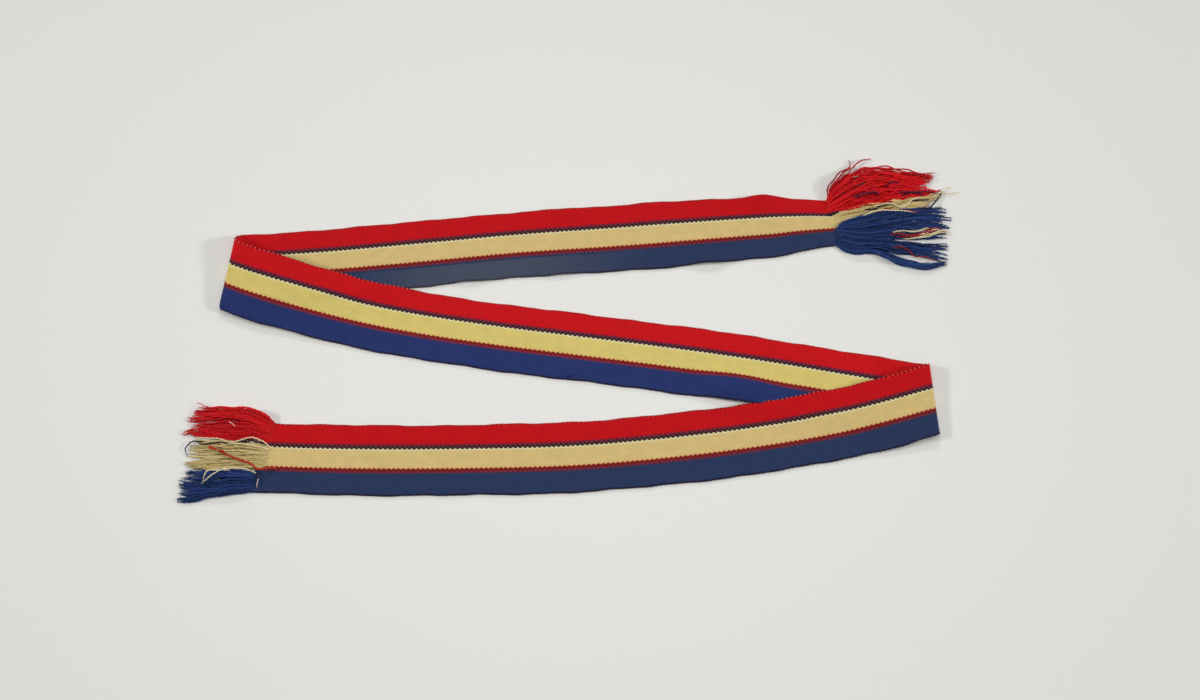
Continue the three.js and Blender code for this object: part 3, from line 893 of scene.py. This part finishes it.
# Line yarns of the long end
# The few yarns of the narrow stripes, near black, purple and dark red, have wandered in among
# their neighbours. Some pale ones lie among the blue, and some red ones lie loose by the hump.
def strays(name, end, material, routes, seed, radius=0.7):
    """Single yarns out of their bundle. A route is the height that the yarn lies at and its
    places, each out from the fell and across towards red. It comes up from among the others
    over its first quarter, sinks with them towards their tips and dips over its last quarter."""
    paths = []
    for height, places in routes:
        out, across = np.array(places, float).T
        share = np.linspace(0, 1, len(out))
        under = np.interp(out / FELLS[end]["length"], (0.5, 0.8, 1, 1.1), (1, 0.65, 0.2, 0.05))
        rise = height * under * (0.2 + 0.8 * smooth(0, 0.25, share) - 0.8 * smooth(0.75, 1, share))
        paths.append(through(beyond(end, out, across, radius + rise)[None], 64)[0])
    rng = np.random.default_rng(seed)
    paths = crimped(np.array(paths), rng, short=0.15, long=0.3)
    return yarns(name, paths, radius, material, rng, crowd_shade=0)


LONG_PURPLE = (
    (11, ((21, 23.5), (26, 23), (34.5, 25.5), (43, 26), (50, 27.5))),
    (12, ((24, 22.5), (30, 23.5), (36, 25), (45, 25.5), (52, 26))),
    (11, ((56, 34.5), (60.5, 35.5), (64.5, 38), (74, 41))),
    (8, ((66.5, 28.5), (73, 28), (82.5, 28), (90.5, 27.5), (98.5, 28), (105.5, 28), (111.5, 26.5))),
    (7, ((72, 26), (80, 26.5), (89, 26), (97, 25))),
)
purple_wool = wool("purple_line_yarn", (90, 24, 62), (60, 8, 30))
long_purple = strays("long_fringe_purple_line", "long", purple_wool, LONG_PURPLE, seed=18, radius=0.85)

navy_wool = wool("navy_line_yarn", (54, 34, 60), (20, 12, 26))
LONG_NAVY = (
    (7, ((28, 13), (42, 10), (48, 12), (54, 14), (60, 17), (65, 15))),
    (7, ((85, 20), (87.5, 18.5), (93.5, 19), (100, 21))),
    (4.5, ((78, 8.5), (91.5, 10), (95.5, 9.5), (99.5, 12), (105.5, 17.5), (110.5, 24), (114, 30))),
    (1.5, ((-3, 8.2), (2, 9), (8, 11.5), (15, 14))),
    (1.5, ((-3, 9.2), (3, 10.2), (9, 13), (16, 16))),
    (1.5, ((-3, 10.1), (2, 10.8), (8, 13.2), (14, 16.5))),
)
long_navy = strays("long_fringe_navy_line", "long", navy_wool, LONG_NAVY, seed=14, radius=0.85)

brick_wool = wool("red_line_yarn", (168, 34, 40), (112, 14, 20))
LONG_BRICK = (
    (6.5, ((38, 10.5), (49, 8), (54.5, 10), (63, 8), (73, 7), (82.5, 6.5), (90.5, 8))),
    (6.5, ((50, -17), (56, -18), (62, -18.7), (70, -20.5), (79, -21), (85, -20.5), (95, -16.5),
         (103, -14), (110, -16))),
    (6.5, ((58, -20), (66, -21.5), (75, -22), (88, -20), (98, -16), (107, -16.5))),
    (7, ((66, -19.5), (74, -20.5), (82, -19.5), (90, -16.5), (97, -13.5), (104, -12.5), (109, -15))),
    (5, ((50, -31), (57, -32.3), (63, -32.7), (70, -37), (75, -43), (83, -44), (92, -47), (98, -47.5))),
)
long_brick = strays("long_fringe_red_line", "long", brick_wool, LONG_BRICK, seed=15)

LONG_PALE = (
    (7.5, ((32, 9.5), (41, 13.5), (49, 13.5), (58, 15.5), (64, 13.5), (68.5, 10.5), (74.5, 12.5),
         (81, 19), (91, 23), (100.5, 25))),
    (7, ((25, 3), (34, 5), (43, 7), (54, 8), (66, 7), (79, 6.5), (90, 7))),
    (7, ((54, -14.6), (62, -15.7), (69, -16), (77, -17), (85, -15.5), (91, -13), (100, -12.5))),
    (6, ((66, -22), (78, -22.5), (85, -22), (94, -19.5), (103, -16), (111, -15.5), (115, -20.5))),
    (6, ((70, -22.5), (80, -23.5), (90, -22.5), (99, -19), (108, -17.5), (113, -18))),
    (6.5, ((74, -21), (84, -20), (92, -18), (100, -14.5), (107, -15.5))),
    (3, ((97, 25), (103.5, 27), (111.5, 27.5), (120, 27), (131, 28))),
    (3, ((96.5, 23), (106, 25.5), (113.5, 29), (119.5, 33.5), (124, 34.5))),
)
pale_wool = wool("pale_yarn", (242, 232, 194), (214, 196, 150))
long_pale = strays("long_fringe_pale_strays", "long", pale_wool, LONG_PALE, seed=16, radius=0.65)

LONG_LOOSE = (
    (1.5, ((0.5, 27.5), (0.5, 37), (3, 43), (8.5, 49), (14.5, 56), (20.5, 59), (25, 62), (27, 66),
           (26.5, 71.5))),
    (1.5, ((1.5, 29.5), (3, 38), (7, 44), (12, 49), (18.5, 55.5), (23, 59), (28, 61.5), (33.5, 66),
           (40.5, 70), (48.5, 71.5))),
    (7, ((1.5, 30), (4, 37), (8.5, 42), (14, 45), (18.5, 49.5), (22.5, 52), (25.5, 59))),
    (7, ((62, 57), (75.5, 55), (83, 53.5), (89, 50.5), (98.5, 49.5), (110.5, 51.5))),
    (7, ((76, 52), (87, 48.5), (96, 47), (103, 44), (106.5, 44.5))),
)
loose_wool = wool("loose_red_yarn", (190, 18, 32), (136, 8, 22))
long_loose = strays("long_fringe_red_strays", "long", loose_wool, LONG_LOOSE, seed=17, radius=0.8)

# Line yarns of the short end
# Here too the near black and the dark red yarns have strayed. One thick dark red strand, twisted
# and knotted, lies over the cream, and a pale thread forks across the blue.
SHORT_NAVY = (
    (4.5, ((5, 12), (11, 10.5), (19.5, 10), (29, 10.5), (37.5, 10.5), (44.5, 11), (50.5, 10),
         (60.5, 9.5), (65, 12))),
    (5, ((1.5, 12), (6, 12.5), (15.5, 13.5), (19.5, 12.5), (27.5, 12.5), (36.5, 12))),
    (5, ((10, 13.5), (16, 14.5), (21, 13.5), (26, 13.5))),
    (3, ((57.5, 12), (65.5, 12), (70, 11), (74.5, 6), (74.5, 2.5), (71.5, -2.5))),
    (2, ((2.5, -13.5), (3.2, -16.5), (3.2, -20), (2.8, -24))),
)
short_navy = strays("short_fringe_navy_line", "short", navy_wool, SHORT_NAVY, seed=24)

SHORT_PALE = (
    (7, ((-3.5, 9.5), (-1, 10), (2, 12), (8.5, 15), (15, 16), (21.5, 14), (30, 12.5), (40, 13.5))),
    (5, ((35, 13), (46, 14.5), (56, 15), (66.5, 16))),
    (5, ((-1, 8), (13, 9.5), (23, 10.4), (35, 10), (50, 12))),
    (8.5, ((6.8, -15.9), (15, -14), (24, -14.4), (30.5, -15.6), (36, -16.2), (44, -21), (50, -26),
         (55, -30))),
    (8.5, ((26, -15), (35.8, -16.2), (42, -17), (49, -18), (51.5, -22), (53.4, -26.9))),
)
short_pale = strays("short_fringe_pale_strays", "short", pale_wool, SHORT_PALE, seed=25, radius=0.6)

SHORT_LOOSE = (
    (8, ((55, 21.5), (59, 21.5), (64.5, 22.5), (69, 22), (73, 21.5))),
    (7, ((62, 24.5), (69.5, 23), (75, 22), (78.5, 20), (81, 17.5))),
    (6, ((50, 45), (59, 45), (64.5, 46), (67.5, 48.5), (72, 50))),
)
short_loose = strays("short_fringe_red_strays", "short", red_wool, SHORT_LOOSE, seed=26, radius=0.6)

TWISTED = (
    (6.5, ((-11, -10.5), (-4, -11.5), (1, -13.5), (5.5, -13.5), (11.5, -9.5), (16, -7.5), (21, -6),
         (24, -5), (30, -3.5), (36, -0.5), (41, 2.5))),
    (7.5, ((36, 0.6), (38, 0.2), (40.5, 0.6), (42, 2), (40.5, 2.2), (38, 1.6), (37, 0.8))),
    (7, ((45, 4.6), (47, 4), (51, 4.5), (52.5, 5.5), (50, 6), (46.5, 4.8))),
)
brown_wool = wool("twisted_strand", (198, 60, 36), (126, 26, 16))
twisted = strays("short_fringe_twisted_strand", "short", brown_wool, TWISTED, seed=27, radius=1.1)

STITCH = (
    (2.6, ((3.7, -20), (3.7, -22.5), (3.7, -25), (3.7, -27.5), (3.7, -29.5))),
    (11, ((38, 31), (35, 28.6), (32, 26.3), (29, 24.2))),
)
thread = wool("pale_thread", (246, 214, 208), (226, 176, 174))
stitch = strays("short_fringe_stitch", "short", thread, STITCH, seed=28, radius=0.46)


# Snag
# Half way along the middle run one blue yarn has caught on something, and stands out as a
# small loop.
SNAG = {"at": 928, "across": -32, "along": 3.4, "over": 2.6, "height": 2}
turn = np.linspace(-0.6, 1.9, 24) * np.pi
loop = lay(SNAG["at"] + SNAG["along"] * np.sin(turn), SNAG["across"] + SNAG["over"] * np.cos(turn))
loop[:, 2] += CLOTH / 2 + 0.3 + SNAG["height"] * np.sin(np.linspace(0, np.pi, len(turn)))
snag = yarns("snag", loop[None], 0.45, blue_wool, np.random.default_rng(31), crowd_shade=0.6)


# Selvedge turns
# At both selvedges the crosswise yarn turns back round the outermost lengthwise one, and shows
# as a row of small bumps, which catch the light where an edge stands up. On the red selvedge
# their pale pink is a painted highlight.
def selvedge(side):
    """Short paths round one selvedge, one for every second pick: over the face, round the edge
    and back, each point at its height along the cloth's normal."""
    s = np.arange(3, LENGTH - 3, 2 * PICK)[:, None] + np.linspace(-0.6, 0.6, 6)
    t = side * (HALF + np.array([-1.3, -0.5, 0.06, 0.06, -0.5, -1.3]))
    height = CLOTH / 2 * np.array([0.85, 0.95, 0.45, -0.45, -0.95, -0.85])
    s, t, height = np.broadcast_arrays(s, t, height)
    ahead = lay(s + 1, t) - lay(s - 1, t)
    return lay(s, t) + height[..., None] * straight_out(s, t), ahead


def selvedge_yarn_and_highlight():
    """The crosswise yarn: navy on the blue selvedge, and on the red one a pale pink, which is a
    painted highlight on its bumps.
    """
    material = Socket.start("selvedge_yarn_and_highlight")
    tone = attribute("tone")
    # the red side's pale pink is a painted highlight, lighter than the red yarn beside it
    shade = tone.choose(dyed(40, 40, 70), dyed(228, 104, 96))
    settled = {"Base Color": shade, "Roughness": 0.8, "Specular IOR Level": 0.1}
    return finished(material, settled)


red_turns, red_way = selvedge(1)
blue_turns, blue_way = selvedge(-1)
paths, ways = np.concatenate([red_turns, blue_turns]), np.concatenate([red_way, blue_way])
points, faces = tubes(paths, 0.44, sides=4, taper=1, up=ways)
tone = np.repeat(np.repeat([1.0, 0.0], len(red_turns)), points.shape[1])
selvedges = surface("selvedge_turns", points.reshape(-1, 3), faces, selvedge_yarn_and_highlight(), tone=tone)
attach(selvedges, "root")

# Whole sash
# One strip cut from the loom and folded back twice over itself on the table, with its loose yarns
# still hanging on it.
singles = [long_purple, long_navy, long_brick, long_pale, long_loose]
singles += [short_navy, short_pale, short_loose, twisted, stitch, snag]
